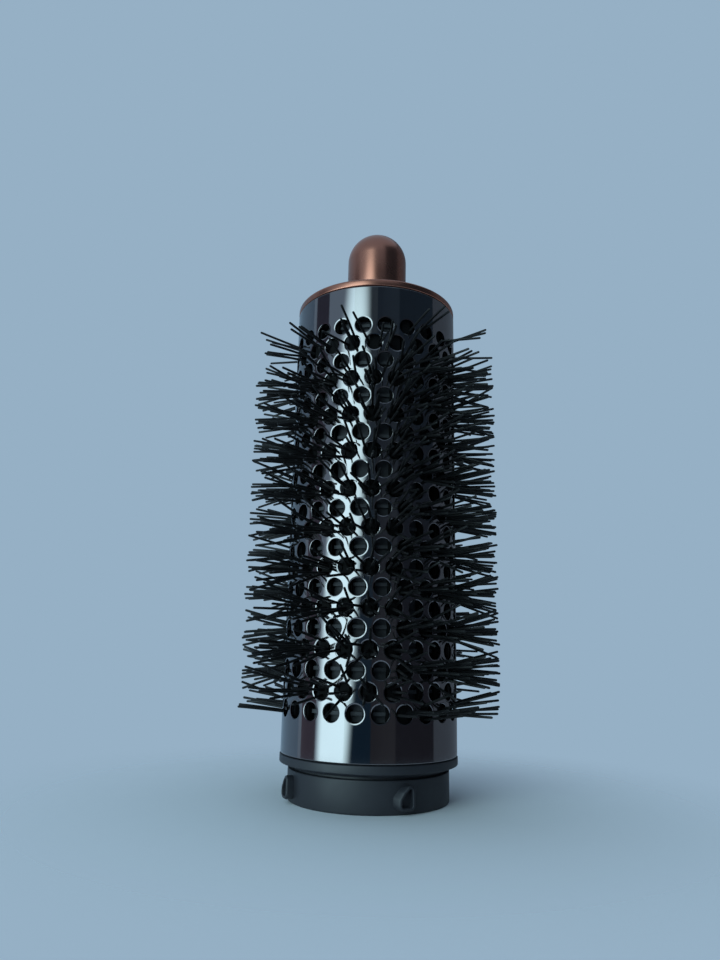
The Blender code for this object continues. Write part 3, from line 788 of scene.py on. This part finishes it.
def makeCarriers():
    draw = random.Random(tuftSet["seed"])
    for carrier in range(carrierSet["count"]):
        verts, faces = [], []
        addPanel(verts, faces, carrier)
        tufts = tuftPlaces(carrier)
        for row, angle, height in tufts:
            addBoss(verts, faces, angle, height)
        # ribs and baffles, and then the bristles, have finishes of their own
        layerEnds = [len(faces)]
        addBaffles(verts, faces, carrier, draw)
        layerEnds.append(len(faces))
        for row, angle, height in tufts:
            addTuft(verts, faces, angle, height, row, draw)
        piece = addPiece(f"tuftedCarrier{carrier + 1}", verts, faces, mouldedNylon,
                         [f"bristle_carrier_{carrier + 1}"])
        for layer, finish in enumerate((corePolymer, bristleNylon)):
            piece.data.materials.append(finish)
            for face in piece.data.polygons[layerEnds[layer]:]:
                face.material_index = layer + 1


makeCarriers()
print("bristle carriers made")


# solids inside the barrel and the collar that keep their shape and only get a finish
innerFinishes = {"core_spine": corePolymer, "upper_disc": corePolymer, "tip_insulator": corePolymer,
                 "tie_washer": zincSteel, "tie_bolt": zincSteel, "collar_screw_1": zincSteel,
                 "collar_screw_2": zincSteel, "collar_screw_3": zincSteel, "collar_screw_4": zincSteel}
for nodeName, finish in innerFinishes.items():
    nodes[nodeName].data.materials.clear()
    nodes[nodeName].data.materials.append(finish)
print("inner solids finished")


# pale floor that fades into the pale surround, one big soft lamp and felt flags for the metal to mirror
studioSet = {"surround": "#96b0c5", "floor": "#eef2f5", "floorRadius": 110.0, "floorSolid": 15.0,
             "floorSides": 96,
             "lamp": {"facing": -38.7, "lift": 2.2, "distance": 620.0, "size": (560.0, 1220.0), "roll": -35.0,
                      "power": 5.95, "colour": "#cff5fb", "core": 0.55},
             # each flag: from an angle, to an angle, up to a height, lower colour, upper colour
             "flags": [(-30.0, 3.0, 660.0, "#4a6474", "#9a9c9a"), (3.0, 34.0, 660.0, "#7a6d6b", "#6e757c"),
                       (34.0, 90.0, 1300.0, "#554b4f", "#525a63"),
                       (90.0, 176.0, 1300.0, "#9c9698", "#9c9698"),
                       (-94.0, -70.0, 660.0, "#bb9ca0", "#96868f"),
                       (-162.0, -100.0, 660.0, "#d8e4f0", "#d8e4f0")],
             "fadeFrom": -80.0, "fadeTo": 560.0, "flagRadius": 900.0, "flagBottom": -160.0, "flagThick": 5.0,
             "flagSlices": 24}


def makeSurround():
    world = bpy.data.worlds.new("paleSurround")
    world.use_nodes = True
    world.node_tree.nodes["Background"].inputs["Color"].default_value = linear(studioSet["surround"])
    scene.world = world


# matt pale paper: no gloss, and it thins out to nothing towards its rim
def makeFloor():
    material = bpy.data.materials.new("palePaperFloor")
    material.use_nodes = True
    tree = material.node_tree
    tree.nodes.remove(tree.nodes["Principled BSDF"])
    place = addNode(tree, "ShaderNodeTexCoord", {}, {}).outputs["Object"]
    distance = addNode(tree, "ShaderNodeVectorMath", {"operation": "LENGTH"}, {0: place})
    fade = addNode(tree, "ShaderNodeMapRange", {"interpolation_type": "SMOOTHSTEP",
                                                "From Min": studioSet["floorSolid"] * mm,
                                                "From Max": studioSet["floorRadius"] * mm},
                   {"Value": distance.outputs["Value"]})
    paper = addNode(tree, "ShaderNodeBsdfDiffuse", {"Color": linear(studioSet["floor"])}, {})
    clear = addNode(tree, "ShaderNodeBsdfTransparent", {}, {})
    mix = addNode(tree, "ShaderNodeMixShader", {},
                  {0: fade.outputs[0], 1: paper.outputs[0], 2: clear.outputs[0]})
    tree.links.new(mix.outputs[0], tree.nodes["Material Output"].inputs["Surface"])
    sides = studioSet["floorSides"]
    mesh = bpy.data.meshes.new("floor")
    rim = [at(studioSet["floorRadius"], fullTurn * index / sides, 0) * mm for index in range(sides)]
    mesh.from_pydata(rim, [], [tuple(range(sides))])
    mesh.materials.append(material)
    floor = bpy.data.objects.new("floor", mesh)
    scene.collection.objects.link(floor)


def makeLamp():
    settings = studioSet["lamp"]
    light = bpy.data.lights.new("softBox", "AREA")
    light.shape = "ELLIPSE"
    light.size, light.size_y = [side * mm for side in settings["size"]]
    light.energy = settings["power"]
    light.color = linear(settings["colour"])[:3]
    # the lamp's cloth glows less towards its edge; Parametric runs from 0 to 1 across it
    half = 0.5
    light.use_nodes = True
    tree = light.node_tree
    spot = addNode(tree, "ShaderNodeNewGeometry", {}, {}).outputs["Parametric"]
    fromMiddle = addNode(tree, "ShaderNodeVectorMath", {"operation": "SUBTRACT", 1: (half, half, 0.0)},
                         {0: spot})
    distance = addNode(tree, "ShaderNodeVectorMath", {"operation": "LENGTH"}, {0: fromMiddle.outputs[0]})
    glow = addNode(tree, "ShaderNodeMapRange", {"interpolation_type": "SMOOTHSTEP", "From Min": half,
                                                "From Max": settings["core"] * half},
                   {"Value": distance.outputs["Value"]})
    tree.links.new(glow.outputs[0], tree.nodes["Emission"].inputs["Strength"])
    lamp = bpy.data.objects.new("softBox", light)
    target = (cadLow + cadHigh) / 2
    facing = at(1, math.radians(settings["facing"]), math.tan(math.radians(settings["lift"]))).normalized()
    lamp.location = target + facing * settings["distance"] * mm
    lamp.rotation_euler = facing.to_track_quat("Z", "Y").to_euler()
    lamp.rotation_euler.rotate_axis("Z", math.radians(settings["roll"]))
    lamp.visible_camera = False
    scene.collection.objects.link(lamp)


# wool felt: no gloss, so the metal mirrors a plain soft tone
def makeFlags():
    for index, (start, end, top, low, high) in enumerate(studioSet["flags"]):
        material = bpy.data.materials.new(f"feltFlag{index + 1}")
        material.use_nodes = True
        tree = material.node_tree
        felt = tree.nodes["Principled BSDF"]
        felt.inputs["Roughness"].default_value = 1.0
        felt.inputs["Specular IOR Level"].default_value = 0.0
        place = addNode(tree, "ShaderNodeTexCoord", {}, {}).outputs["Object"]
        height = addNode(tree, "ShaderNodeSeparateXYZ", {}, {0: place}).outputs["Z"]
        fade = addNode(tree, "ShaderNodeMapRange", {"From Min": studioSet["fadeFrom"] * mm,
                                                    "From Max": studioSet["fadeTo"] * mm}, {"Value": height})
        colour = addNode(tree, "ShaderNodeMix", {"data_type": "RGBA", mixA: linear(low), mixB: linear(high)},
                         {0: fade.outputs[0]})
        tree.links.new(colour.outputs[mixResult], felt.inputs["Base Color"])
        verts, faces = [], []
        bentBlock(verts, faces, studioSet["flagRadius"], studioSet["flagRadius"] + studioSet["flagThick"],
                  (math.radians(start), math.radians(end)), (studioSet["flagBottom"], top),
                  studioSet["flagSlices"])
        mesh = bpy.data.meshes.new(f"flag{index + 1}")
        mesh.from_pydata([point * mm for point in verts], [], faces)
        mesh.materials.append(material)
        flag = bpy.data.objects.new(f"flag{index + 1}", mesh)
        flag.visible_camera = False
        scene.collection.objects.link(flag)


makeSurround()
makeFloor()
makeLamp()
makeFlags()
scene.view_settings.view_transform = "Standard"
print("studio made")
